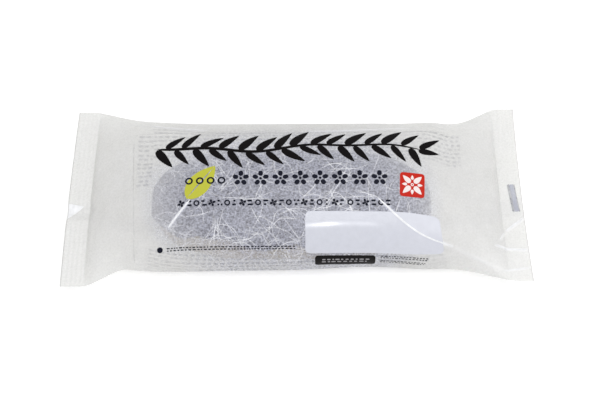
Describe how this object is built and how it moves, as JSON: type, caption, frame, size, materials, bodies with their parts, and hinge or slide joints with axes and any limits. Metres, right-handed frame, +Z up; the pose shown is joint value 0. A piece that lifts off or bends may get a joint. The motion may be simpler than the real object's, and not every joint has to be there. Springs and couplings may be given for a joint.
{
  "type": "chocolate eclair in a film pack",
  "caption": "Chocolate eclair sealed in a milky, see-through film pack with crimped ends, lying flat with its printed side up.",
  "frame": {"origin": "on the table, under the middle of the pack's outline", "axes": "+X along the pack from its left crimped end to its right one, +Y away from the reader of the print, +Z up through the printed side"},
  "size_m": [0.2, 0.086, 0.0315],
  "materials": {
    "milky_film": "milky, see-through glossy packing film"
  },
  "bodies": {
    "root": {"sealed_pack": "milky_film"}
  },
  "joints": []
}
